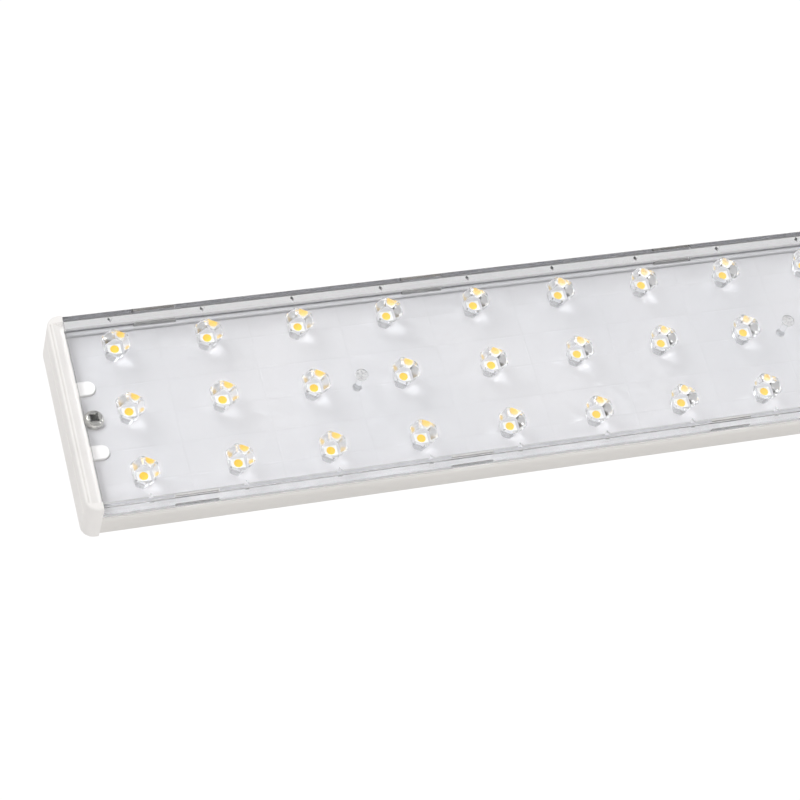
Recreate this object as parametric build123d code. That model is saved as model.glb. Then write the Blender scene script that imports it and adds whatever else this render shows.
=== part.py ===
from build123d import *
import math
import os

# LED light-line batten: a folded white steel tray, two LED boards under clear covers with
# a six-sided lens over each LED, moulded end caps, and the gear on its back: driver, mains
# terminal block, leads and two quarter-turn latches. Millimetres. X runs along the batten, Z points out
# of the lit face, Z=0 is the plane the batten rests on (the back of the driver).

# ---- driving dimensions -------------------------------------------------------------
module_length = 280.0        # one LED board and its cover
columns = 11                 # LED columns on one board
rows = 3
row_pitch = 19.3
column_pitch = module_length / columns
lit_length = 2 * module_length

sheet = 0.8                  # steel of the tray
driver_height = 21.0
web_under = driver_height    # the driver hangs from the web
web_top = web_under + sheet
edge_z = web_top - 6.2       # height that the shoulder, cover and lenses are counted from
foot_z = edge_z - 0.8        # lower edge of the tray's sides and of the end caps
shoulder_top = edge_z + 8.3
tray_half = 29.2
shoulder_in = 26.0           # where the web steps up to the shoulder
bow = 45.0                   # radius of the slightly bowed sides

board_t = 1.2
board_half = 25.85
board_top = web_top + board_t

cover_top = edge_z + 14.55
cover_half = 28.8
cover_wall = 1.6
cover_plate = 0.8
led_z = edge_z + 8.1         # top of the LEDs
lens_low = edge_z + 8.4      # flat underside of a lens, just over its LED
flank = (2.35, 0.24)         # a flank face: distance from the axis at led_z, and its slope
front = (2.8, 0.14)          # the same for the two faces at 60 and 240 degrees
corner_cut = 0.945           # the lens corners are cut off at this part of their reach
rib = 1.0                    # small pointed gusset inside the cover's wall at each column
hook_half = 5.75
gasket_t = 0.6
cap_out = 4.5                # how far an end cap goes past the cover
cap_gap = 0.08
cap_half = 29.35
finger_tip = 5.9             # how far the end caps' fingers reach in
finger_half = 2.1
end_screw_x = lit_length / 2 - 3.5

pin_cols = (2.5, 7.5)        # cover pins, in column pitches from the first column
hook_cols = (0.5, 3.5, 6.5, 9.5)

latch_x = 248.0              # quarter-turn latches, one near each end
nut_x = 215.0                # clinch nuts, at plus and minus nut_x and nut_y
nut_y = 18.0
nut_bore = 1.65              # M4 thread, at its minor radius
driver_x0 = -20.0            # driver, mains end on the left
driver_x1 = 190.0
driver_half = 15.0
ear = 8.0                    # flat ear at each end of the driver's base
base_t = 1.2
terminal_x0 = -146.0         # mains terminal block
terminal_x1 = -98.0
pole_pitch = 11.0
grommet_x = lit_length / 2 - 3 * column_pitch
grommet_y = row_pitch / 2
earth_x = -56.0
earth_y = -17.0

os.makedirs("parts", exist_ok=True)


def save(shape, name):
    """Writes one node."""
    export_step(shape, "parts/" + name + ".step")


def block(x0, x1, y0, y1, z0, z1):
    """Box between two corners."""
    solid = Box(x1 - x0, y1 - y0, z1 - z0)
    return Pos((x0 + x1) / 2, (y0 + y1) / 2, (z0 + z1) / 2) * solid


def rod(x, y, z0, z1, r):
    """Upright cylinder."""
    return Pos(x, y, (z0 + z1) / 2) * Cylinder(r, z1 - z0)


def lying(x0, x1, y, z, r):
    """Cylinder along X."""
    return Pos((x0 + x1) / 2, y, z) * Rot(0, 90, 0) * Cylinder(r, x1 - x0)


def cone(x, y, z0, z1, r0, r1):
    """Upright cone, r0 at z0 and r1 at z1."""
    return Pos(x, y, (z0 + z1) / 2) * Cone(r0, r1, z1 - z0)


def group(solids):
    """Separate solids kept together in one node."""
    return Compound(children=list(solids))


def column_x(module, col):
    """X of an LED column, col 0 being the leftmost of its board."""
    start = -lit_length / 2 + module * module_length
    return start + (col + 0.5) * column_pitch


def row_y(row):
    """Y of an LED row, row 0 on the +Y side."""
    return (1 - row) * row_pitch


def along_x(points, x0, x1):
    """Extrudes a closed YZ outline from x0 to x1."""
    face = make_face(Polyline(*[(p[0], p[1]) for p in points], close=True))
    solid = extrude(Plane.YZ * face, amount=x1 - x0)
    return Pos(x0, 0, 0) * solid


def lead(points, radius, bend=5.0):
    """Round insulated lead along a polyline with rounded corners."""
    path = FilletPolyline(*points, radius=bend) if len(points) > 2 else Line(*points)
    start = Plane(origin=path @ 0, z_dir=path % 0)
    return sweep(start * Circle(radius), path=path)


LED_POINTS = [
    (m, c, r, column_x(m, c), row_y(r))
    for m in range(2) for c in range(columns) for r in range(rows)
]

# ---- tray: folded sheet, web sunk between two shoulders -------------------------------
hem = 1.6
outer = [
    (-tray_half, foot_z), (-tray_half, shoulder_top), (-shoulder_in, shoulder_top),
    (-shoulder_in, web_top), (shoulder_in, web_top), (shoulder_in, shoulder_top),
    (tray_half, shoulder_top), (tray_half, foot_z), (tray_half - hem, foot_z),
    (tray_half - hem, foot_z + 2.6), (tray_half - sheet, foot_z + 2.6),
    (tray_half - sheet, shoulder_top - sheet), (shoulder_in + sheet, shoulder_top - sheet),
    (shoulder_in + sheet, web_under), (-shoulder_in - sheet, web_under),
    (-shoulder_in - sheet, shoulder_top - sheet), (-tray_half + sheet, shoulder_top - sheet),
    (-tray_half + sheet, foot_z + 2.6), (-tray_half + hem, foot_z + 2.6),
    (-tray_half + hem, foot_z),
]
tray = along_x(outer, -lit_length / 2, lit_length / 2)
for side in (-1, 1):
    y0, y1 = sorted((side * 22.0, side * (tray_half + 1)))
    trim = block(-lit_length / 2 - 1, lit_length / 2 + 1, y0, y1, foot_z - 1, shoulder_top + 1)
    trim -= lying(-lit_length / 2 - 2, lit_length / 2 + 2, side * (tray_half - bow), shoulder_top - 2, bow)
    tray -= trim
top_bends = [
    e for e in tray.edges().filter_by(Axis.X)
    if abs(e.center().Z - shoulder_top) < 0.01 and abs(abs(e.center().Y) - tray_half) < 0.3
]
tray = fillet(top_bends, 1.8)
inner_bends = [
    e for e in tray.edges().filter_by(Axis.X)
    if abs(e.center().Z - shoulder_top + sheet) < 0.01
    and abs(abs(e.center().Y) - tray_half + sheet) < 0.01
]
tray = fillet(inner_bends, 1.0)
low_bends = [
    e for e in tray.edges().filter_by(Axis.X)
    if abs(e.center().Z - foot_z) < 0.01 and abs(abs(e.center().Y) - tray_half + 0.56) < 0.3
]
tray = fillet(low_bends, 0.5)
for m in range(2):
    for col in hook_cols:
        for side in (-1, 1):
            x = column_x(m, col)
            y = side * 27.4
            half = hook_half + 0.2
            tray -= block(x - half, x + half, y - 0.9, y + 0.9, shoulder_top - 2, shoulder_top + 1)
    for col in pin_cols:
        tray -= rod(column_x(m, col), 0, web_under - 1, web_top + 1, 0.9)
for side in (-1, 1):
    tray -= rod(side * end_screw_x, 0, web_under - 1, web_top + 1, 1.5)
    tray -= rod(side * latch_x, 0, web_under - 1, web_top + 1, 2.0)
    for y in (-nut_y, nut_y):
        tray -= rod(side * nut_x, y, web_under - 1, web_top + 1, 2.8)
tray -= rod(grommet_x, grommet_y, web_under - 1, web_top + 1, 4.0)
ear_screws_x = (driver_x0 + 4.0, driver_x1 - 4.0)
for x in ear_screws_x:
    tray -= rod(x, 0, web_under - 1, web_top + 1, 1.5)
tray -= rod(earth_x, earth_y, web_under - 1, web_top + 1, 2.0)
block_screws = ((terminal_x0 + 4.0, pole_pitch / 2), (terminal_x1 - 4.0, -pole_pitch / 2))
for x, y in block_screws:
    tray -= rod(x, y, web_under - 1, web_top + 1, 1.5)
save(tray, "tray")

# ---- clinch nuts for a ceiling bracket: two pairs in the web --------------------------
nuts = []
for side in (-1, 1):
    for y in (-nut_y, nut_y):
        x = side * nut_x
        nut = rod(x, y, web_under - 3.4, web_under, 4.2) + rod(x, y, web_under - 0.2, web_top, 2.8)
        nut -= rod(x, y, web_under - 4, web_top + 1, nut_bore)
        nuts.append(nut)
save(group(nuts), "clinch_nuts")

# ---- LED boards -------------------------------------------------------------------------
link_y = -row_pitch / 2
for m, name in ((0, "led_board_left"), (1, "led_board_right")):
    x0 = -lit_length / 2 + m * module_length + 0.3
    x1 = x0 + module_length - 0.6
    pcb = block(x0, x1, -board_half, board_half, web_top, board_top)
    outer_x = x0 if m == 0 else x1
    inward = 1 if m == 0 else -1
    for y in (-row_pitch / 2, row_pitch / 2):
        a = outer_x - inward * 1
        b = (-lit_length / 2 + finger_tip - cap_gap - finger_half) * inward
        slot = block(
            min(a, b), max(a, b), y - finger_half - 0.12, y + finger_half + 0.12,
            web_top - 1, board_top + 1,
        )
        pcb -= slot + rod(b, y, web_top - 1, board_top + 1, finger_half + 0.12)
    for col in pin_cols:
        pcb -= rod(column_x(m, col), 0, web_top - 1, board_top + 1, 1.25)
    pcb -= rod((-1 if m == 0 else 1) * end_screw_x, 0, web_top - 1, board_top + 1, 1.6)
    if m == 1:
        pcb -= rod(grommet_x, grommet_y, web_top - 1, board_top + 1, 5.2)
    save(pcb, name)

# ---- LED packages: white frame with a sunk phosphor ------------------------------------
pkg_t = 0.7
frames = []
dots = []
for m, c, r, x, y in LED_POINTS:
    frame = block(x - 1.75, x + 1.75, y - 1.4, y + 1.4, board_top, board_top + pkg_t)
    frame -= rod(x, y, board_top + 0.25, board_top + 1, 1.2)
    frames.append(frame)
    dots.append(rod(x, y, board_top + 0.25, board_top + pkg_t - 0.05, 1.18))
save(group(frames), "led_frames")
save(group(dots), "led_phosphors")

# ---- lens covers: plate, side walls with small gussets, hooks, and a lens over each LED


def corner(p, q, i, step):
    """Where the line at distance p, square to direction i, meets the next one at distance q."""
    u, v = math.radians(step * i), math.radians(step * i + step)
    det = math.sin(v - u)
    return (p * math.sin(v) - q * math.sin(u)) / det, (q * math.cos(u) - p * math.cos(v)) / det


def lens_section(z):
    """Outline of a lens at height z: six faces 60 degrees apart, with the corners cut off."""
    reach = z - led_z
    a = flank[0] + flank[1] * reach
    b = front[0] + front[1] * reach
    faces = (a, b, a, a, b, a)
    dist = []
    for i in range(6):
        dist.append(faces[i])
        dist.append(corner_cut * math.hypot(*corner(faces[i], faces[(i + 1) % 6], i, 60)))
    corners = [corner(dist[i], dist[(i + 1) % 12], i, 30) for i in range(12)]
    return make_face(Polyline(*corners, close=True))


def lens(x, y):
    """Solid six-sided lens hanging under the plate, narrower at its foot."""
    root = cover_top - cover_plate + 0.1
    low = Pos(x, y, lens_low) * lens_section(lens_low)
    high = Pos(x, y, root) * lens_section(root)
    return loft([low, high])


def cover_for(m):
    """One lens cover."""
    x0 = -lit_length / 2 + m * module_length + 0.04
    x1 = x0 + module_length - 0.08
    low = shoulder_top + gasket_t
    shell = block(x0, x1, -cover_half, cover_half, low, cover_top)
    rim = [
        e for e in shell.edges().filter_by(Axis.X)
        if abs(e.center().Z - cover_top) < 0.01
    ]
    shell = fillet(rim, 0.4)
    shell -= block(
        x0 - 1, x1 + 1, -cover_half + cover_wall, cover_half - cover_wall,
        low - 1, cover_top - cover_plate,
    )
    for col in hook_cols:
        for side in (-1, 1):
            x = column_x(m, col)
            y = side * 27.4
            leg = block(x - hook_half, x + hook_half, y - 0.5, y + 0.5, shoulder_top - 2.4, low + 0.4)
            y_out = side * 28.0
            barb = block(
                x - hook_half, x + hook_half, min(y, y_out), max(y, y_out),
                shoulder_top - 2.4, shoulder_top - 1.0,
            )
            shell += leg + barb
    for col in range(columns):
        x = column_x(m, col)
        for side in (-1, 1):
            face_y = cover_half - cover_wall
            point = Polyline(
                (x - 0.7, side * (face_y + 0.1)), (x, side * (face_y - rib)),
                (x + 0.7, side * (face_y + 0.1)), close=True,
            )
            foot = cover_top - cover_plate - 1.3
            shell += Pos(0, 0, foot) * extrude(make_face(point), amount=1.4)
    for col in pin_cols:
        x = column_x(m, col)
        shell -= rod(x, 0, board_top, cover_top + 1, 1.15)
        shell -= rod(x, 0, cover_top - 0.4, cover_top + 1, 1.8)
    lenses = [lens(column_x(m, c), row_y(r)) for c in range(columns) for r in range(rows)]
    shell = shell.fuse(*lenses)
    return shell


save(cover_for(0), "lens_cover_left")
save(cover_for(1), "lens_cover_right")

# ---- foam strips under the covers' walls, broken at the hooks --------------------------------
strips = []
for m in range(2):
    start = -lit_length / 2 + m * module_length
    ends = [start + 0.6 - hook_half - 0.3]
    ends += [column_x(m, col) for col in hook_cols]
    ends += [start + module_length - 0.6 + hook_half + 0.3]
    for a, b in zip(ends[:-1], ends[1:]):
        for side in (-1, 1):
            y0, y1 = sorted((side * 27.05, side * 28.3))
            strips.append(block(
                a + hook_half + 0.3, b - hook_half - 0.3, y0, y1,
                shoulder_top, shoulder_top + gasket_t - 0.02,
            ))
save(group(strips), "cover_gaskets")

# ---- cover pins: clear push pins, heads sunk flush in the plate, feet in the web ---------
pins = []
for m in range(2):
    for col in pin_cols:
        x = column_x(m, col)
        head_z = cover_top - 0.4
        pin = rod(x, 0, head_z, cover_top - 0.02, 1.7)
        pin += cone(x, 0, head_z - 0.5, head_z, 0.89, 1.12)
        pin += rod(x, 0, web_under + 0.05, head_z, 0.89)
        for turn in (0, 90):
            pin -= Pos(x, 0, cover_top) * Rot(0, 0, turn) * Box(2.0, 0.5, 0.5)
        pins.append(pin)
save(group(pins), "cover_pins")

# ---- end screws: M3 pan heads holding board, web and cap foot together ------------------
screws = []
for side in (-1, 1):
    x = side * end_screw_x
    screw = rod(x, 0, board_top, board_top + 1.9, 2.7)
    screw = fillet(screw.edges().group_by(Axis.Z)[-1], 1.2)
    screw += rod(x, 0, web_under - 5.6, board_top, 1.48)
    screw -= cone(x, 0, board_top + 0.7, board_top + 2.2, 0.5, 1.25)
    for turn in (45, 135):
        screw -= Pos(x, 0, board_top + 1.6) * Rot(0, 0, turn) * Box(3.1, 0.75, 1.6)
    screws.append(screw)
save(group(screws), "end_screws")

# ---- end caps: rim, sunk slope, two fingers over the web, one foot under it --------------


def end_cap(side):
    """Moulded cap, built at the left end and mirrored for the right."""
    x_in = -lit_length / 2 - cap_gap
    x_out = -lit_length / 2 - cap_out
    top = cover_top
    body = block(x_out, x_in, -cap_half, cap_half, foot_z, top)
    body = fillet(body.edges().filter_by(Axis.Z).group_by(Axis.X)[0], 3.4)
    outer_rim = body.faces().sort_by(Axis.Z)[-1].edges()
    body = fillet(outer_rim.sort_by(Axis.X)[:-1], 0.7)
    slope = [
        (x_out + 1.35, top + 0.2), (x_in + 1, top + 0.2),
        (x_in + 1, top - 1.6), (x_in - 0.7, top - 1.6),
    ]
    face = make_face(Polyline(*slope, close=True))
    body -= extrude(Plane.XZ * face, amount=cap_half - 2.3, both=True)
    body -= block(x_out + 0.8, x_out + 1.05, -cap_half + 2.6, cap_half - 2.6, top - 0.3, top + 1)
    body -= block(x_in - 2.0, x_in + 1, -cap_half + 2.4, cap_half - 2.4, foot_z - 1, web_under - 0.4)
    line_z = shoulder_top + 0.4
    body -= block(x_out - 1, x_out + 0.15, -cap_half - 1, cap_half + 1, line_z, line_z + 0.3)
    for y in (-row_pitch / 2, row_pitch / 2):
        tip = x_in + finger_tip
        finger_top = board_top + 0.8
        finger = block(x_in - 1.4, tip - finger_half, y - finger_half, y + finger_half, web_top, finger_top)
        finger += rod(tip - finger_half, y, web_top, finger_top, finger_half)
        rim = [
            e for e in finger.edges()
            if abs(e.center().Z - finger_top) < 0.01 and e.center().X > x_in - 1.3
        ]
        body += fillet(rim, 0.35)
    foot = block(x_in - 2.2, x_in + 8.0, -8.0, 8.0, web_under - 4.0, web_under)
    foot -= rod(-end_screw_x, 0, web_under - 5, web_under + 1, 1.5)
    body += foot
    if side > 0:
        body = mirror(body, about=Plane.YZ)
    return body


save(end_cap(-1), "end_cap_left")
save(end_cap(1), "end_cap_right")

# ---- board connectors: a bridge over the joint of the boards, and the input ---------------


def socket(x_mouth, x_back, y):
    """Two-way surface-mount housing with its mouths at x_mouth."""
    x0, x1 = min(x_mouth, x_back), max(x_mouth, x_back)
    housing = block(x0, x1, y - 3.0, y + 3.0, board_top, board_top + 2.9)
    inward = 1 if x_back > x_mouth else -1
    deep = x_mouth + inward * 5.0
    front = x_mouth - inward * 1.0
    for side in (-1, 1):
        yc = y + side * 1.3
        housing -= block(
            min(front, deep), max(front, deep), yc - 0.9, yc + 0.9, board_top + 0.5, board_top + 2.3
        )
    return housing


save(group([socket(-6.0, -13.0, link_y), socket(6.0, 13.0, link_y)]), "link_sockets")
bridge = block(-5.8, 5.8, link_y - 3.0, link_y + 3.0, board_top + 0.2, board_top + 2.7)
bridge = fillet(bridge.edges().filter_by(Axis.Z), 0.6)
blades = []
for side in (-1, 1):
    yc = link_y + side * 1.3
    slot = block(-6, 6, yc - 0.4, yc + 0.4, board_top + 1.15, board_top + 1.65)
    bridge -= slot
    blades.append(block(-9.6, 9.6, yc - 0.4, yc + 0.4, board_top + 1.15, board_top + 1.65))
save(bridge, "link_bridge")
save(group(blades), "link_blades")
in_mouth = grommet_x + 6.6
save(socket(in_mouth, in_mouth + 7.0, grommet_y), "input_socket")

# ---- grommet for the low-voltage leads -----------------------------------------------------
grommet = rod(grommet_x, grommet_y, web_under - 1.2, web_top + 1.0, 5.0)
for z0, z1 in ((web_under, web_top),):
    grommet -= rod(grommet_x, grommet_y, z0, z1, 5.2) - rod(grommet_x, grommet_y, z0, z1, 4.0)
grommet -= rod(grommet_x, grommet_y, web_under - 2, web_top + 2, 2.6)
save(grommet, "lead_grommet")

# ---- driver: base with ears, folded cover, board and what stands on it ------------------------
base = block(driver_x0, driver_x1, -driver_half, driver_half, web_under - base_t, web_under)
base = fillet(base.edges().filter_by(Axis.Z), 2.0)
for x in ear_screws_x:
    base -= rod(x, 0, web_under - 3, web_under + 1, 1.6)
save(base, "driver_base")

case_x0 = driver_x0 + ear
case_x1 = driver_x1 - ear
case_top = web_under - base_t
wall = 0.9
case = block(case_x0, case_x1, -driver_half, driver_half, 0, case_top)
case = fillet(case.edges().filter_by(Axis.X).group_by(Axis.Z)[0], 1.4)
case = case - block(
    case_x0 + wall, case_x1 - wall, -driver_half + wall, driver_half - wall, wall, case_top + 1
)
case -= block(case_x0 - 1, case_x0 + 2, -12.0, 12.0, 6.0, 16.0)
case -= block(case_x1 - 2, case_x1 + 1, -8.0, 8.0, 6.0, 16.0)
for i in range(14):
    x = case_x0 + 42 + i * 8.0
    case -= block(x, x + 2.4, driver_half - 3, driver_half + 1, 5.0, 14.0)
save(case, "driver_case")

pcb_z = case_top - 2.6
driver_pcb = block(case_x0 + 1.4, case_x1 - 1.4, -13.6, 13.6, pcb_z - 1.6, pcb_z)
save(driver_pcb, "driver_board")
pcb_low = pcb_z - 1.6

core = block(70, 92, -9, 9, pcb_low - 13.0, pcb_low)
core -= block(74, 88, -10, 10, pcb_low - 10.4, pcb_low - 2.6)
core += block(78, 84, -9, 9, pcb_low - 10.6, pcb_low - 2.4)
save(core, "transformer_core")
coil = block(74.4, 87.6, -11.5, 11.5, pcb_low - 10.0, pcb_low - 3.0)
coil = fillet(coil.edges().filter_by(Axis.Z), 2.0)
coil -= block(77.9, 84.1, -9.1, 9.1, pcb_low - 10.8, pcb_low - 2.2)
save(coil, "transformer_coil")

choke = Pos(20, 0, pcb_low - 6.5) * Rot(90, 0, 0) * Torus(4.6, 1.9)
choke = choke + block(13.0, 27.0, -3.0, 3.0, pcb_low - 1.6, pcb_low)
choke = choke + block(18.0, 22.0, -1.4, 1.4, pcb_low - 3.4, pcb_low - 1.0)
save(choke, "mains_choke")

caps = []
for x, r, h in ((44, 6.2, 13.6), (58, 6.2, 13.6), (112, 5.0, 12.4), (124, 5.0, 12.4)):
    can = rod(x, 0, pcb_low - h, pcb_low, r)
    can = fillet(can.edges().group_by(Axis.Z)[0], 0.8)
    for turn in (0, 60, 120):
        can -= Pos(x, 0, pcb_low - h) * Rot(0, 0, turn) * Box(1.3 * r, 0.4, 0.5)
    caps.append(can)
save(group(caps), "electrolytic_capacitors")
film = block(30, 36, -9, 9, pcb_low - 11, pcb_low)
save(fillet(film.edges().filter_by(Axis.Z), 1.0), "film_capacitor")
fin = block(100, 101.6, -12, 12, pcb_low - 13, pcb_low) + block(100, 105, -12, -10.4, pcb_low - 13, pcb_low)
fin += block(100, 105, 10.4, 12, pcb_low - 13, pcb_low)
save(fin, "driver_heatsink")
save(block(101.6, 105.6, -5, 5, pcb_low - 11, pcb_low - 1) - rod(103, 0, 0, 1, 0.5), "power_transistor")
fuse = lying(2, 12, 9, pcb_low - 2.8, 2.4) + block(3, 5, 7.5, 10.5, pcb_low - 3, pcb_low)
fuse += block(9, 11, 7.5, 10.5, pcb_low - 3, pcb_low)
save(fuse, "driver_fuse")


def driver_terminal(x_mouth, x_back, ways, pitch):
    """Push-in terminal on the driver's board, mouths at x_mouth."""
    x0, x1 = min(x_mouth, x_back), max(x_mouth, x_back)
    half = (ways - 1) / 2 * pitch + pitch / 2 + 0.4
    body = block(x0, x1, -half, half, 5.2, pcb_low)
    inward = 1 if x_back > x_mouth else -1
    for i in range(ways):
        y = (i - (ways - 1) / 2) * pitch
        a = x_mouth - inward
        b = x_mouth + inward * 8.0
        body -= lying(min(a, b), max(a, b), y, 9.5, 1.35)
        body -= block(min(a, b), max(a, b), y - 1.2, y + 1.2, 12.2, 14.0)
    return body


save(driver_terminal(case_x0 + wall + 0.2, case_x0 + 13.0, 3, 6.6), "driver_mains_terminal")
save(driver_terminal(case_x1 - wall - 0.2, case_x1 - 12.0, 2, 5.6), "driver_output_terminal")

screws = []
for x in ear_screws_x:
    screw = rod(x, 0, case_top - 2.2, case_top, 2.75)
    screw = fillet(screw.edges().group_by(Axis.Z)[0], 1.2)
    screw += rod(x, 0, case_top, web_top - 0.05, 1.48)
    for turn in (0, 90):
        screw -= Pos(x, 0, case_top - 1.9) * Rot(0, 0, turn) * Box(3.2, 0.8, 1.6)
    screws.append(screw)
save(group(screws), "driver_screws")

# ---- mains terminal block: housing, contacts, three sprung release buttons ----------------------
step_x = terminal_x0 + 22.0
block_half = 17.0
housing = block(terminal_x0, terminal_x1, -block_half, block_half, 0, web_under)
housing = fillet(housing.edges().filter_by(Axis.Z), 1.2)
housing -= block(terminal_x0 - 1, step_x, -block_half - 1, block_half + 1, -1, 5.0)
for x, y in block_screws:
    housing -= rod(x, y, -1, web_under + 1, 1.6)
    housing -= rod(x, y, -1, web_under - 3.0, 3.0)
pole_ys = (pole_pitch, 0.0, -pole_pitch)
mouth_z = 15.6
btn_x = terminal_x0 + 14.0
for y in pole_ys:
    housing -= lying(terminal_x0 - 1, terminal_x0 + 21.5, y, mouth_z, 1.6)
    housing -= lying(terminal_x1 - 12.5, terminal_x1 + 1, y, 9.5, 1.6)
    housing -= block(btn_x - 3.0, btn_x + 3.0, y - 2.5, y + 2.5, 4.0, 12.0)
    housing -= block(terminal_x0 + 21.0, terminal_x1 - 12.0, y - 3.4, y + 3.4, 6.0, 18.0)
save(housing, "terminal_housing")
contacts = []
for y in pole_ys:
    bar = block(terminal_x0 + 21.2, terminal_x1 - 12.2, y - 3.2, y + 3.2, 17.0, 17.9)
    bar += block(terminal_x0 + 21.2, terminal_x0 + 22.4, y - 3.2, y + 3.2, 7.0, 17.5)
    bar += block(terminal_x1 - 13.4, terminal_x1 - 12.2, y - 3.2, y + 3.2, 7.0, 17.5)
    contacts.append(bar)
save(group(contacts), "terminal_contacts")
for y, name in zip(pole_ys, ("button_live", "button_neutral", "button_earth")):
    button = block(btn_x - 2.95, btn_x + 2.95, y - 2.45, y + 2.45, 3.2, 9.4)
    button = fillet(button.edges().filter_by(Axis.Z), 0.6)
    button -= block(btn_x - 2.0, btn_x + 2.0, y - 0.5, y + 0.5, 2.0, 3.9)
    save(button, name)
screws = []
for x, y in block_screws:
    head_z = web_under - 3.0
    screw = rod(x, y, head_z - 2.2, head_z, 2.75)
    screw = fillet(screw.edges().group_by(Axis.Z)[0], 1.2)
    screw += rod(x, y, head_z, web_top - 0.05, 1.48)
    for turn in (0, 90):
        screw -= Pos(x, y, head_z - 1.9) * Rot(0, 0, turn) * Box(3.2, 0.8, 1.6)
    screws.append(screw)
save(group(screws), "terminal_screws")

# ---- earth stud with washer, ring and nut -----------------------------------------------------
stud = rod(earth_x, earth_y, web_under - 8.0, web_top, 1.95)
stud += rod(earth_x, earth_y, web_top - 0.3, web_top, 2.0)
save(stud, "earth_stud")
washer = rod(earth_x, earth_y, web_under - 0.8, web_under, 4.0)
washer -= rod(earth_x, earth_y, web_under - 2, web_under + 1, 2.0)
save(washer, "earth_washer")
ring_z = web_under - 0.8
ring = rod(earth_x, earth_y, ring_z - 0.8, ring_z, 3.9)
ring += block(earth_x - 9.0, earth_x - 2.5, earth_y - 1.5, earth_y + 1.5, ring_z - 0.8, ring_z)
ring -= rod(earth_x, earth_y, ring_z - 2, ring_z + 1, 2.0)
barrel_z = ring_z - 1.9
barrel = lying(earth_x - 14.5, earth_x - 8.0, earth_y, barrel_z, 1.9)
ring += barrel
ring -= lying(earth_x - 15.0, earth_x - 9.5, earth_y, barrel_z, 1.3)
save(ring, "earth_ring")
nut = Pos(earth_x, earth_y, ring_z - 0.8 - 1.6) * extrude(RegularPolygon(4.0, 6), amount=1.6, both=True)
nut -= rod(earth_x, earth_y, ring_z - 5, ring_z, 1.95)
save(nut, "earth_nut")

# ---- leads, each whole from clamp to clamp -------------------------------------------------------
mains_r = 1.25
out_x = terminal_x1 - 8.0
out_z = 9.5
in_x = case_x0 + 6.0
live_y = pole_ys[0]
neutral_y = pole_ys[1]
protect_y = pole_ys[2]
save(lead([(out_x, live_y, out_z), (-72, live_y, out_z), (-44, 6.6, out_z), (in_x, 6.6, out_z)],
          mains_r, 40.0), "lead_live")
save(lead([(out_x, neutral_y, out_z), (in_x, neutral_y, out_z)], mains_r), "lead_neutral")
save(lead([(out_x, protect_y, out_z), (-92, protect_y, out_z), (-79.0, earth_y, barrel_z),
           (earth_x - 10.0, earth_y, barrel_z)], mains_r, 12.0), "lead_earth")

low_r = 0.9
for side, name in ((1, "lead_positive"), (-1, "lead_negative")):
    y_driver = side * 2.8
    y_top = grommet_y + side * 1.3
    z_top = board_top + 1.4
    save(lead([(case_x1 - 7.0, y_driver, 9.5), (case_x1 + 6.0, y_driver, 9.5),
               (grommet_x, y_top, 13.0), (grommet_x, y_top, z_top),
               (in_mouth + 4.4, y_top, z_top)], low_r, 2.2), name)

# ---- clips that hold the mains leads to the web ---------------------------------------------------
clips = []
for x, y in ((-84.0, live_y), (-84.0, neutral_y), (-30.0, 6.6), (-30.0, neutral_y)):
    clip = block(x - 2.5, x + 2.5, y - 2.6, y + 2.6, out_z - 2.6, web_under)
    clip = fillet(clip.edges().filter_by(Axis.X).group_by(Axis.Z)[0], 1.6)
    clip -= lying(x - 3, x + 3, y, out_z, mains_r + 0.02)
    clip -= block(x - 3, x + 3, y - 1.3, y + 1.3, out_z + 2.6, web_under - 1.6)
    clips.append(clip)
save(group(clips), "wire_clips")

# ---- quarter-turn latches: knob with two wings, shoulder rivet, wave washer -----------------------
wing_z = 9.0
for side, name in ((-1, "latch_left"), (1, "latch_right")):
    x = side * latch_x
    knob = rod(x, 0, 4.0, web_under - 0.6, 8.0)
    knob = chamfer(knob.edges().group_by(Axis.Z)[0], 0.8)
    wings = block(x - 19.0, x + 19.0, -5.0, 5.0, wing_z, wing_z + 3.2)
    wings = fillet(wings.edges().filter_by(Axis.Z), 4.6)
    knob += wings
    knob += block(x - 10.5, x + 10.5, -1.8, 1.8, 1.0, 6.0)
    knob -= rod(x, 0, 0, web_under + 1, 2.05)
    knob -= rod(x, 0, 0, 12.0, 4.2)
    save(knob, name)
rivets = []
rings = []
for side in (-1, 1):
    x = side * latch_x
    rivets.append(rod(x, 0, 11.8, web_top, 2.0) + rod(x, 0, 10.2, 11.9, 3.8))
    ring = rod(x, 0, web_under - 0.55, web_under, 5.0) - rod(x, 0, web_under - 1, web_under + 1, 2.3)
    rings.append(ring)
save(group(rivets), "latch_rivets")
save(group(rings), "latch_washers")
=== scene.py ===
import bpy
import math
from mathutils import Matrix, Vector

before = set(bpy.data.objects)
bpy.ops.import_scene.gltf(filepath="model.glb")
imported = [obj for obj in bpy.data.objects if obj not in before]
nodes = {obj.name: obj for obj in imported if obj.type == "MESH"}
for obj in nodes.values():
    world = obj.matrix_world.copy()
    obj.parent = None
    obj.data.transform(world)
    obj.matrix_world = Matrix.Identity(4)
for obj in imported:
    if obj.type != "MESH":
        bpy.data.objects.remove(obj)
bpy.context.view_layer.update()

MM = 0.001
COLUMN = 280.0 / 11 * MM  # pitch of the LEDs along a board
ROW = 19.3 * MM  # pitch of the LEDs across it

# Painted shade: the tray is coloured greyer under the cover, from this half width inwards and
# this height upwards.
COVERED_HALF = 27.2 * MM
COVERED_Z = 21.2 * MM
COVERED_FADE = 0.4 * MM

# The rough ring around each lens: its inner and outer radius, and the height it stays below.
RING_INNER = 3.6 * MM
RING_INNER_FULL = 3.9 * MM
RING_OUTER_FULL = 4.8 * MM
RING_OUTER = 5.0 * MM
PLATE_UNDERSIDE = 29.3 * MM
PRISM_SCALE = 1050.0

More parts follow.
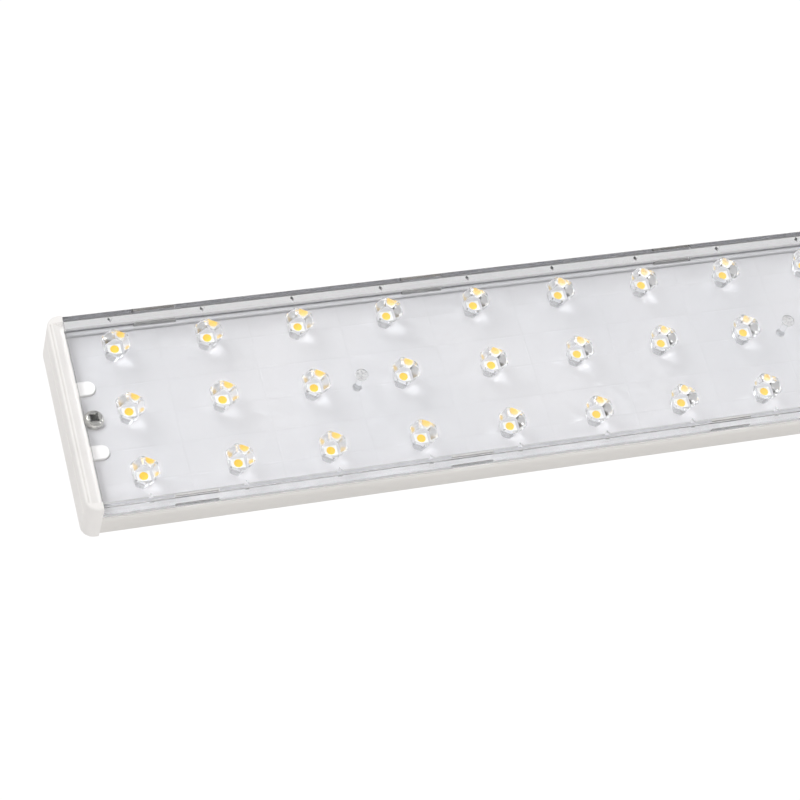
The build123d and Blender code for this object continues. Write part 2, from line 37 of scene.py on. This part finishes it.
# Push pins: the head starts here, and the foot ends here.
PIN_HEAD_Z = 29.25 * MM
PIN_HEAD_FULL = 29.4 * MM
PIN_FOOT_FULL = 23.4 * MM
PIN_FOOT_Z = 23.8 * MM

# End screws: the distance from the middle of the batten, and the cross recess, which is painted
# near-black as shade.
END_SCREW_X = 276.5 * MM
RECESS_TOP = 24.7 * MM
RECESS_FADE = 0.2 * MM
RECESS_RADIUS = 1.4 * MM
RECESS_RIM = 1.6 * MM

# The phosphor pales from here to here along the batten.
PALE_FROM = -0.22
PALE_TO = 0.02

EARTH_STRIPE = 6.0 * MM


# ---- node helpers ---------------------------------------------------------------------
class Tree:
    """One material's node tree, with short ways to add what the finishes need."""

    def __init__(self, name):
        self.mat = bpy.data.materials.new(name)
        self.mat.use_nodes = True
        self.nt = self.mat.node_tree
        self.nt.nodes.clear()
        self.out = self.nt.nodes.new("ShaderNodeOutputMaterial")
        self.coords = self.nt.nodes.new("ShaderNodeTexCoord").outputs["Object"]

    def link(self, a, b):
        self.nt.links.new(a, b)

    def math(self, op, a, b=None, c=None):
        n = self.nt.nodes.new("ShaderNodeMath")
        n.operation = op
        for socket, value in zip(n.inputs, (a, b, c)):
            if value is None:
                continue
            if isinstance(value, (int, float)):
                socket.default_value = value
            else:
                self.link(value, socket)
        return n.outputs[0]

    def noise(self, scale, detail=3.0, rough=0.5, stretch=(1, 1, 1)):
        m = self.nt.nodes.new("ShaderNodeMapping")
        m.inputs["Scale"].default_value = stretch
        self.link(self.coords, m.inputs["Vector"])
        n = self.nt.nodes.new("ShaderNodeTexNoise")
        n.inputs["Scale"].default_value = scale
        n.inputs["Detail"].default_value = detail
        n.inputs["Roughness"].default_value = rough
        self.link(m.outputs[0], n.inputs["Vector"])
        return n.outputs["Fac"]

    def ramp(self, value, low, high, to_low=0.0, to_high=1.0):
        n = self.nt.nodes.new("ShaderNodeMapRange")
        n.clamp = True
        self.link(value, n.inputs["Value"])
        n.inputs["From Min"].default_value = low
        n.inputs["From Max"].default_value = high
        n.inputs["To Min"].default_value = to_low
        n.inputs["To Max"].default_value = to_high
        return n.outputs["Result"]

    def mix(self, fac, a, b):
        n = self.nt.nodes.new("ShaderNodeMix")
        n.data_type = "RGBA"
        if isinstance(fac, (int, float)):
            n.inputs[0].default_value = fac
        else:
            self.link(fac, n.inputs[0])
        for socket, value in ((n.inputs[6], a), (n.inputs[7], b)):
            if isinstance(value, tuple):
                socket.default_value = (*value, 1.0)
            else:
                self.link(value, socket)
        return n.outputs[2]

    def edges(self, low=0.53, high=0.62):
        g = self.nt.nodes.new("ShaderNodeNewGeometry")
        return self.ramp(g.outputs["Pointiness"], low, high)

    def axis(self, which):
        n = self.nt.nodes.new("ShaderNodeSeparateXYZ")
        self.link(self.coords, n.inputs[0])
        return n.outputs[which]

    def bump(self, height, strength, distance):
        n = self.nt.nodes.new("ShaderNodeBump")
        n.inputs["Strength"].default_value = strength
        n.inputs["Distance"].default_value = distance
        self.link(height, n.inputs["Height"])
        return n.outputs["Normal"]

    def switch(self, ray, otherwise, then):
        """Show one shader to one kind of ray, and another to the rest."""
        path = self.nt.nodes.new("ShaderNodeLightPath")
        both = self.nt.nodes.new("ShaderNodeMixShader")
        self.link(path.outputs[ray], both.inputs[0])
        self.link(otherwise.outputs[0], both.inputs[1])
        self.link(then.outputs[0], both.inputs[2])
        self.link(both.outputs[0], self.out.inputs["Surface"])

    def length(self, a, b):
        squares = self.math("ADD", self.math("MULTIPLY", a, a), self.math("MULTIPLY", b, b))
        return self.math("SQRT", squares)

    def finish(self, colour, rough, metal=0.0, normal=None, **plain):
        p = self.nt.nodes.new("ShaderNodeBsdfPrincipled")
        if isinstance(colour, tuple):
            p.inputs["Base Color"].default_value = (*colour, 1.0)
        else:
            self.link(colour, p.inputs["Base Color"])
        if isinstance(rough, (int, float)):
            p.inputs["Roughness"].default_value = rough
        else:
            self.link(rough, p.inputs["Roughness"])
        p.inputs["Metallic"].default_value = metal
        if normal is not None:
            self.link(normal, p.inputs["Normal"])
        for key, value in plain.items():
            p.inputs[key.replace("_", " ")].default_value = value
        self.link(p.outputs[0], self.out.inputs["Surface"])
        return p


def shade(c, k):
    """A colour made lighter or darker."""
    return tuple(min(1.0, v * k) for v in c)


def coated(name, colour, rough=0.42, grain=1700.0, depth=0.00004, worn=(0.62, 0.62, 0.6),
           wear=0.25, painted_shade=None):
    """Powder-coated or painted sheet: orange peel, faint soiling, thin coat on the edges.

    The colour given as "covered" is painted shade: a greyer colour for the part of it that lies
    under the clear cover.
    """
    t = Tree(name)
    soil = t.ramp(t.noise(22.0, 5.0, 0.6), 0.35, 0.75)
    fleck = t.ramp(t.noise(900.0, 2.0), 0.62, 0.72)
    base = t.mix(soil, shade(colour, 1.015), shade(colour, 0.965))
    base = t.mix(t.math("MULTIPLY", fleck, 0.18), base, shade(colour, 0.9))
    base = t.mix(t.math("MULTIPLY", t.edges(), wear), base, worn)
    # Painted shade: under the clear cover the tray is coloured greyer.
    if painted_shade is not None:
        half = t.math("ABSOLUTE", t.axis(1))
        inside = t.ramp(half, COVERED_HALF, COVERED_HALF + COVERED_FADE, 1.0, 0.0)
        above = t.ramp(t.axis(2), COVERED_Z, COVERED_Z + COVERED_FADE)
        base = t.mix(t.math("MULTIPLY", inside, above), base, painted_shade)
    peel = t.noise(grain, 2.0, 0.45)
    gloss = t.ramp(peel, 0.3, 0.7, rough - 0.07, rough + 0.08)
    t.finish(base, gloss, 0.0, t.bump(peel, 0.35, depth))
    return t.mat


def moulded(name, colour, rough=0.5, grain=2600.0, depth=0.00003, gloss=False, edge=1.06):
    """Injection-moulded plastic: spark-eroded grain, flow tone, paler rubbed edges."""
    t = Tree(name)
    flow = t.ramp(t.noise(35.0, 4.0, 0.6, (1, 1.6, 1)), 0.3, 0.7)
    base = t.mix(flow, shade(colour, 1.03), shade(colour, 0.95))
    dust = t.ramp(t.noise(420.0, 3.0), 0.6, 0.78)
    base = t.mix(t.math("MULTIPLY", dust, 0.15), base, shade(colour, 0.86))
    base = t.mix(t.math("MULTIPLY", t.edges(), 0.45), base, shade(colour, edge))
    skin = t.noise(grain, 3.0, 0.6)
    low = rough - (0.05 if gloss else 0.09)
    t.finish(base, t.ramp(skin, 0.3, 0.7, low, rough + 0.08), 0.0, t.bump(skin, 0.3, depth))
    return t.mat


def plated(name, colour, rough=0.28, streaks=(1, 1, 1), depth=0.00002, stain=(0.4, 0.38, 0.34)):
    """Zinc, tin or bare metal: fine scratches, patchy passivation, bright edges."""
    t = Tree(name)
    patch = t.ramp(t.noise(260.0, 4.0, 0.6), 0.35, 0.7)
    base = t.mix(patch, colour, shade(colour, 0.84))
    base = t.mix(t.math("MULTIPLY", t.ramp(t.noise(90.0, 4.0), 0.6, 0.75), 0.35), base, stain)
    base = t.mix(t.math("MULTIPLY", t.edges(), 0.5), base, shade(colour, 1.2))
    lines = t.noise(1900.0, 2.0, 0.6, streaks)
    gloss = t.ramp(lines, 0.3, 0.7, rough - 0.08, rough + 0.14)
    t.finish(base, gloss, 1.0, t.bump(lines, 0.35, depth))
    return t.mat


def clear_acrylic(name):
    """Clear moulded acrylic, with a finely pitted ring around each lens in place of its prisms.

    Lamps shine straight through it, so what lies under it is lit. They lose more in the lenses.
    """
    t = Tree(name)
    haze = t.ramp(t.noise(60.0, 4.0, 0.6), 0.35, 0.75, 0.07, 0.11)
    ripple = t.noise(110.0, 2.0, 0.4)
    place = t.math("FRACT", t.math("DIVIDE", t.axis(0), COLUMN))
    dx = t.math("MULTIPLY", t.math("SUBTRACT", place, 0.5), COLUMN)
    lane = t.math("FRACT", t.math("ADD", t.math("DIVIDE", t.axis(1), ROW), 0.5))
    dy = t.math("MULTIPLY", t.math("SUBTRACT", lane, 0.5), ROW)
    reach = t.length(dx, dy)
    outside = t.ramp(reach, RING_INNER, RING_INNER_FULL)
    within = t.ramp(reach, RING_OUTER_FULL, RING_OUTER, 1.0, 0.0)
    ring = t.math("MULTIPLY", outside, within)
    below = t.ramp(t.axis(2), PLATE_UNDERSIDE, PLATE_UNDERSIDE + 0.02 * MM, 1.0, 0.0)
    prisms = t.nt.nodes.new("ShaderNodeTexVoronoi")
    prisms.inputs["Scale"].default_value = PRISM_SCALE
    t.link(t.coords, prisms.inputs["Vector"])
    cut = t.math("MULTIPLY", t.math("MULTIPLY", prisms.outputs["Distance"], ring), below)
    ripple = t.math("ADD", t.math("MULTIPLY", ripple, 0.05), cut)
    tone = t.mix(t.ramp(t.noise(28.0, 3.0), 0.35, 0.7), (0.985, 0.99, 1.0), (0.965, 0.975, 0.99))
    pits = t.bump(ripple, 1.0, 0.00025)
    acrylic = t.finish(tone, haze, 0.0, pits, IOR=1.49, Transmission_Weight=1.0)
    through = t.nt.nodes.new("ShaderNodeBsdfTransparent")
    t.link(t.mix(below, (0.95, 0.955, 0.965), (0.8, 0.8, 0.81)), through.inputs[0])
    t.switch("Is Shadow Ray", acrylic, through)
    return t.mat


def clear_pin(name):
    """Push pin: clear shank, milky foot, and a head with a rough, greyish moulded face."""
    t = Tree(name)
    grit = t.noise(2300.0, 4.0, 0.7)
    head = t.ramp(t.axis(2), PIN_HEAD_Z, PIN_HEAD_FULL)
    rough = t.math("ADD", t.math("MULTIPLY", head, 0.45), t.ramp(grit, 0.3, 0.7, 0.02, 0.1))
    foot = t.ramp(t.axis(2), PIN_FOOT_FULL, PIN_FOOT_Z, 1.0, 0.0)
    ends = t.math("MAXIMUM", head, foot)
    speckle = t.math("MULTIPLY", head, t.ramp(grit, 0.4, 0.6))
    tone = t.mix(speckle, (0.98, 0.985, 0.99), (0.5, 0.5, 0.51))
    plastic = t.finish(tone, rough, 0.0, t.bump(grit, 0.5, 0.00006), IOR=1.2)
    t.link(t.ramp(ends, 0.0, 1.0, 1.0, 0.35), plastic.inputs["Transmission Weight"])
    through = t.nt.nodes.new("ShaderNodeBsdfTransparent")
    through.inputs[0].default_value = (0.96, 0.96, 0.97, 1.0)
    t.switch("Is Shadow Ray", plastic, through)
    return t.mat


def solder_mask(name, colour, gap, width, height, rough=0.38):
    """Printed board: copper pours under the mask with thin gaps between them."""
    t = Tree(name)
    b = t.nt.nodes.new("ShaderNodeTexBrick")
    b.offset = 0.0
    b.inputs["Scale"].default_value = 1.0
    b.inputs["Brick Width"].default_value = width
    b.inputs["Row Height"].default_value = height
    b.inputs["Mortar Size"].default_value = gap
    b.inputs["Mortar Smooth"].default_value = 0.4
    t.link(t.coords, b.inputs["Vector"])
    pour = b.outputs["Fac"]
    soft = t.ramp(t.noise(30.0, 3.0), 0.3, 0.7)
    base = t.mix(soft, shade(colour, 1.01), shade(colour, 0.97))
    base = t.mix(t.math("MULTIPLY", pour, 0.16), base, shade(colour, 0.84))
    weave = t.noise(2200.0, 2.0, 0.5)
    height_map = t.math("MULTIPLY_ADD", pour, -1.0, t.math("MULTIPLY", weave, 0.25))
    t.finish(base, t.ramp(weave, 0.3, 0.7, rough - 0.06, rough + 0.08), 0.0,
             t.bump(height_map, 0.4, 0.00005))
    return t.mat


def phosphor(name):
    """Silicone with phosphor grains in two depths of orange, paler along the batten."""
    t = Tree(name)
    grain = t.noise(3800.0, 3.0, 0.7)
    base = t.mix(t.ramp(grain, 0.35, 0.7), (1.0, 0.68, 0.06), (0.98, 0.52, 0.03))
    drift = t.math("MULTIPLY_ADD", t.noise(9.0, 1.0), 0.08, t.axis(0))
    base = t.mix(t.ramp(drift, PALE_FROM, PALE_TO, 0.0, 0.4), base, (1.0, 0.76, 0.3))
    t.finish(base, t.ramp(grain, 0.3, 0.7, 0.2, 0.38), 0.0, t.bump(grain, 0.25, 0.00003))
    return t.mat


def screw_head(name, colour, rough):
    """Bright plated pan head whose cross recess is painted near-black as shade."""
    t = Tree(name)
    off = t.math("SUBTRACT", t.math("ABSOLUTE", t.axis(0)), END_SCREW_X)
    within = t.ramp(t.length(off, t.axis(1)), RECESS_RADIUS, RECESS_RIM, 1.0, 0.0)
    sunk = t.ramp(t.axis(2), RECESS_TOP - RECESS_FADE, RECESS_TOP, 1.0, 0.0)
    recess_shade = t.math("MULTIPLY", within, sunk)
    patch = t.ramp(t.noise(900.0, 4.0, 0.6), 0.4, 0.65)
    base = t.mix(patch, colour, shade(colour, 0.7))
    # Painted shade: the cross recess is coloured near-black.
    base = t.mix(t.math("MULTIPLY", recess_shade, 0.92), base, (0.03, 0.03, 0.028))
    base = t.mix(t.math("MULTIPLY", t.edges(), 0.5), base, shade(colour, 1.3))
    lines = t.noise(1900.0, 2.0, 0.6)
    gloss = t.ramp(lines, 0.3, 0.7, rough - 0.05, rough + 0.12)
    t.finish(base, gloss, 1.0, t.bump(lines, 0.5, 0.00005))
    return t.mat


def wound(name, colour, pitch, axis, crease_shade=0.45, metal=0.0, rough=0.35):
    """Wire laid side by side: ridges across one axis, with painted shade in the troughs between
    turns.
    """
    t = Tree(name)
    turns = t.math("SINE", t.math("MULTIPLY", t.axis(axis), 2 * math.pi / pitch))
    ridge = t.ramp(turns, -1.0, 1.0)
    # Painted shade: the troughs between turns are coloured darker.
    base = t.mix(ridge, shade(colour, crease_shade), colour)
    base = t.mix(t.ramp(t.noise(300.0, 3.0), 0.4, 0.7, 0.0, 0.3), base, shade(colour, 0.8))
    t.finish(base, t.ramp(t.noise(900.0), 0.3, 0.7, rough - 0.06, rough + 0.1), metal,
             t.bump(ridge, 0.8, 0.0002))
    return t.mat


def insulation(name, colour, stripe=None):
    """Extruded lead insulation, with a second colour for the earth lead."""
    t = Tree(name)
    drawn = t.ramp(t.noise(160.0, 3.0, 0.5, (0.3, 1, 1)), 0.35, 0.7)
    base = t.mix(drawn, shade(colour, 1.08), shade(colour, 0.88))
    if stripe is not None:
        along = t.math("ADD", t.axis(0), t.axis(2))
        turns = t.math("SINE", t.math("MULTIPLY", along, 2 * math.pi / EARTH_STRIPE))
        base = t.mix(t.math("GREATER_THAN", turns, 0.1), base, stripe)
    skin = t.noise(1300.0, 2.0, 0.5, (0.2, 1, 1))
    t.finish(base, t.ramp(skin, 0.3, 0.7, 0.34, 0.5), 0.0, t.bump(skin, 0.25, 0.00003))
    return t.mat


def foam_strip(name):
    """Cellular foam strip with open pores, with painted shade: the far side is coloured darker
    than the near side.
    """
    t = Tree(name)
    pores = t.noise(1500.0, 4.0, 0.7)
    # Painted shade: the far (+y) strip is coloured darker than the near one.
    base = t.mix(t.ramp(t.axis(1), -0.005, 0.005), (0.5, 0.5, 0.51), (0.19, 0.19, 0.2))
    base = t.mix(t.ramp(pores, 0.5, 0.75, 0.0, 0.35), base, (0.3, 0.3, 0.31))
    t.finish(base, t.ramp(pores, 0.3, 0.7, 0.75, 0.95), 0.0, t.bump(pores, 0.6, 0.00015))
    return t.mat


def ferrite_mat(name):
    """Sintered ferrite: granular, chipped corners."""
    t = Tree(name)
    grain = t.noise(2400.0, 4.0, 0.7)
    base = t.mix(t.ramp(grain, 0.35, 0.7), (0.05, 0.05, 0.055), (0.1, 0.1, 0.11))
    base = t.mix(t.math("MULTIPLY", t.edges(), 0.6), base, (0.22, 0.22, 0.23))
    t.finish(base, t.ramp(grain, 0.3, 0.7, 0.45, 0.7), 0.0, t.bump(grain, 0.5, 0.00006))
    return t.mat


WHITE = (0.86, 0.84, 0.815)
FINISH = {
    # The tray's greyer colour under the clear cover is painted shade.
    "tray": coated("white_steel", WHITE, painted_shade=(0.64, 0.64, 0.65)),
    "end_caps": moulded("white_cap", (0.92, 0.905, 0.89), 0.48, gloss=True),
    "clear": clear_acrylic("clear_cover"),
    "pins": clear_pin("clear_pin"),
    "foam": foam_strip("foam"),
    "led_board": solder_mask("white_board", (0.62, 0.615, 0.625), 0.0003, COLUMN, ROW / 2),
    "frames": moulded("led_frame", (0.86, 0.86, 0.84), 0.3, 3400.0, gloss=True),
    "phosphor": phosphor("phosphor"),
    "bright": screw_head("zinc_screw", (0.72, 0.71, 0.67), 0.14),
    "dull": plated("zinc_dull", (0.6, 0.6, 0.58), 0.36),
    "connector": moulded("connector_white", (0.84, 0.83, 0.79), 0.42),
    "tinned": plated("tinned", (0.74, 0.75, 0.76), 0.24, (0.2, 1, 1)),
    "rubber": moulded("grommet", (0.03, 0.03, 0.032), 0.62, 1500.0, 0.00005, edge=1.8),
    "galvanised": plated("galvanised", (0.62, 0.64, 0.66), 0.38, (0.3, 1, 1), 0.00003),
    "driver_paint": coated("driver_white", (0.78, 0.79, 0.80), 0.38, 2200.0, 0.00003,
                           (0.5, 0.5, 0.5), 0.4),
    "green_board": solder_mask("green_board", (0.03, 0.2, 0.08), 0.0004, 0.007, 0.004),
    "ferrite": ferrite_mat("ferrite"),
    "tape": wound("yellow_tape", (0.8, 0.6, 0.08), 0.0023, 2, 0.8),
    "can": moulded("black_can", (0.035, 0.04, 0.07), 0.3, 900.0, gloss=True, edge=2.2),
    "film_block": moulded("blue_block", (0.05, 0.12, 0.36), 0.4),
    "copper": wound("copper_wire", (0.72, 0.33, 0.16), 0.0011, 0, 0.35, 1.0, 0.3),
    "epoxy": moulded("black_epoxy", (0.03, 0.03, 0.03), 0.55, 1800.0, edge=1.7),
    "fuse": moulded("fuse_body", (0.7, 0.64, 0.48), 0.45),
    "aluminium": plated("aluminium", (0.74, 0.75, 0.77), 0.33, (1, 0.15, 1)),
    "terminal_grey": moulded("terminal_grey", (0.52, 0.53, 0.54), 0.5),
    "terminal_black": moulded("terminal_black", (0.05, 0.05, 0.055), 0.5, edge=1.8),
    "orange": moulded("orange_button", (0.8, 0.24, 0.03), 0.36, gloss=True),
    "blue": moulded("blue_button", (0.05, 0.16, 0.55), 0.36, gloss=True),
    "green": moulded("green_button", (0.05, 0.35, 0.09), 0.36, gloss=True),
    "brass": plated("brass_bar", (0.8, 0.6, 0.28), 0.3, (0.2, 1, 1), stain=(0.35, 0.22, 0.1)),
    "brown_wire": insulation("wire_brown", (0.22, 0.09, 0.04)),
    "blue_wire": insulation("wire_blue", (0.03, 0.13, 0.5)),
    "earth_wire": insulation("wire_green", (0.06, 0.36, 0.07), (0.8, 0.7, 0.05)),
    "red_wire": insulation("wire_red", (0.55, 0.03, 0.025)),
    "black_wire": insulation("wire_black", (0.02, 0.02, 0.022)),
    "nylon": moulded("nylon", (0.8, 0.78, 0.72), 0.46, gloss=True),
    "latch": moulded("latch_grey", (0.16, 0.17, 0.18), 0.52, 1500.0, 0.00005, edge=1.6),
}
WEARS = {
    "tray": ["tray"],
    "end_caps": ["end_cap_left", "end_cap_right"],
    "clear": ["lens_cover_left", "lens_cover_right"],
    "led_board": ["led_board_left", "led_board_right"],
    "frames": ["led_frames"],
    "phosphor": ["led_phosphors"],
    "bright": ["end_screws"],
    "pins": ["cover_pins"],
    "foam": ["cover_gaskets"],
    "dull": ["clinch_nuts", "driver_screws", "terminal_screws", "earth_stud",
             "earth_washer", "earth_nut", "latch_rivets", "latch_washers"],
    "connector": ["link_sockets", "input_socket", "link_bridge"],
    "tinned": ["link_blades", "earth_ring"],
    "rubber": ["lead_grommet"],
    "galvanised": ["driver_base"],
    "driver_paint": ["driver_case"],
    "green_board": ["driver_board"],
    "ferrite": ["transformer_core"],
    "tape": ["transformer_coil"],
    "copper": ["mains_choke"],
    "can": ["electrolytic_capacitors"],
    "film_block": ["film_capacitor"],
    "aluminium": ["driver_heatsink"],
    "epoxy": ["power_transistor"],
    "fuse": ["driver_fuse"],
    "terminal_grey": ["driver_mains_terminal", "terminal_housing"],
    "terminal_black": ["driver_output_terminal"],
    "brass": ["terminal_contacts"],
    "orange": ["button_live"],
    "blue": ["button_neutral"],
    "green": ["button_earth"],
    "brown_wire": ["lead_live"],
    "blue_wire": ["lead_neutral"],
    "earth_wire": ["lead_earth"],
    "red_wire": ["lead_positive"],
    "black_wire": ["lead_negative"],
    "nylon": ["wire_clips"],
    "latch": ["latch_left", "latch_right"],
}
for finish, names in WEARS.items():
    for name in names:
        piece = nodes[name]
        piece.data.materials.clear()
        piece.data.materials.append(FINISH[finish])


# ---- floor, light, camera -------------------------------------------------------------
FLOOR_HALF = 6.0
FLOOR_GLOW = 1.05
WORLD_LIGHT = 0.55
CENTRE = (-0.15, 0.0, 0.02)
WARM = (1.0, 0.995, 0.985)


def area(name, place, target, size, power, colour):
    """Soft box aimed at a point."""
    lamp = bpy.data.lights.new(name, "AREA")
    lamp.shape = "RECTANGLE"
    lamp.size, lamp.size_y = size
    lamp.energy = power
    lamp.color = colour
    ob = bpy.data.objects.new(name, lamp)
    aim = (Vector(place) - Vector(target)).to_track_quat("Z", "Y")
    ob.matrix_world = Matrix.LocRotScale(Vector(place), aim, None)
    bpy.context.scene.collection.objects.link(ob)


ground = bpy.data.meshes.new("floor")
corners = [(FLOOR_HALF * a, FLOOR_HALF * b, 0) for a, b in ((-1, -1), (1, -1), (1, 1), (-1, 1))]
ground.from_pydata(corners, [], [(0, 1, 2, 3)])
floor = bpy.data.objects.new("floor", ground)
bpy.context.scene.collection.objects.link(floor)
backdrop = Tree("floor")
sweep = backdrop.finish((0.82, 0.815, 0.81), 0.6)
glow = backdrop.nt.nodes.new("ShaderNodeEmission")
glow.inputs[1].default_value = FLOOR_GLOW
backdrop.switch("Is Camera Ray", sweep, glow)
ground.materials.append(backdrop.mat)

world = bpy.data.worlds.new("studio")
bpy.context.scene.world = world
world.use_nodes = True
background = world.node_tree.nodes["Background"]
background.inputs[0].default_value = (1.0, 0.99, 0.985, 1.0)
background.inputs[1].default_value = WORLD_LIGHT
area("key", (-1.0, 0.85, 1.5), CENTRE, (0.5, 0.4), 12.5, WARM)
area("fill", (1.0, -0.1, 1.0), CENTRE, (0.45, 0.4), 5.0, WARM)
area("front", (-0.3, -1.5, 0.55), CENTRE, (1.8, 0.5), 5.0, (1.0, 0.985, 0.97))

lens = bpy.data.cameras.new("camera")
lens.lens = 112.5
lens.sensor_width = 36.0
lens.sensor_fit = "HORIZONTAL"
lens.clip_start = 0.01
camera = bpy.data.objects.new("camera", lens)
right = Vector((0.949, -0.247, 0.197)).normalized()
back = Vector((-0.291, -0.437, 0.851)).normalized()
up = back.cross(right).normalized()
right = up.cross(back)
turn = Matrix((right, up, back)).transposed()
eye = Vector((-0.3910, -0.3032, 0.6029))
camera.matrix_world = Matrix.LocRotScale(eye, turn.to_quaternion(), None)
bpy.context.scene.collection.objects.link(camera)
bpy.context.scene.camera = camera
bpy.context.scene.view_settings.view_transform = "Standard"
bpy.context.scene.view_settings.exposure = 0.0
